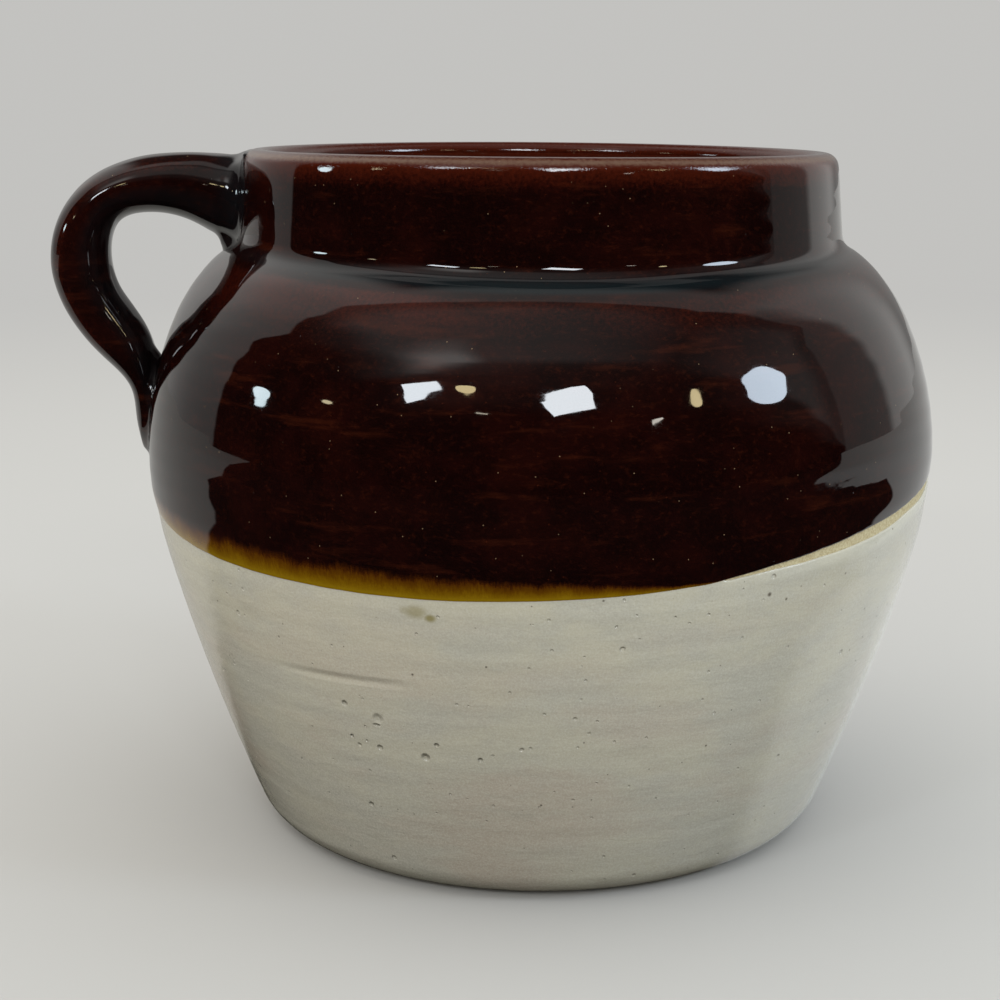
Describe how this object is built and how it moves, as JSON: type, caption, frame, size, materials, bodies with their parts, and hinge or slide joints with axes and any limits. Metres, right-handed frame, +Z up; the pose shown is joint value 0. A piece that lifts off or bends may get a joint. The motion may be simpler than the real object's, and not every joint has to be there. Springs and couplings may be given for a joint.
{
  "type": "bean pot",
  "caption": "Open stoneware bean pot with a round belly, a short upright collar and a pulled side handle, dipped in dark glaze over its pale lower body.",
  "frame": {"origin": "centre of the foot, on the plane that the pot stands on", "axes": "+Z up along the pot's turning axis; the handle points along -X; +Y is then the side on which the dip line runs higher"},
  "size_m": [0.2115, 0.1899, 0.1626],
  "materials": {
    "pale_stoneware": "satin pale grey-cream glaze outside, glossy dark brown glaze inside, dry clay on the foot",
    "dark_glaze": "high-gloss red-brown to near-black glaze, lighter where it is thin"
  },
  "bodies": {
    "root": {"pot_body": "pale_stoneware", "handle": "dark_glaze", "dark_glaze": "dark_glaze"}
  },
  "joints": []
}
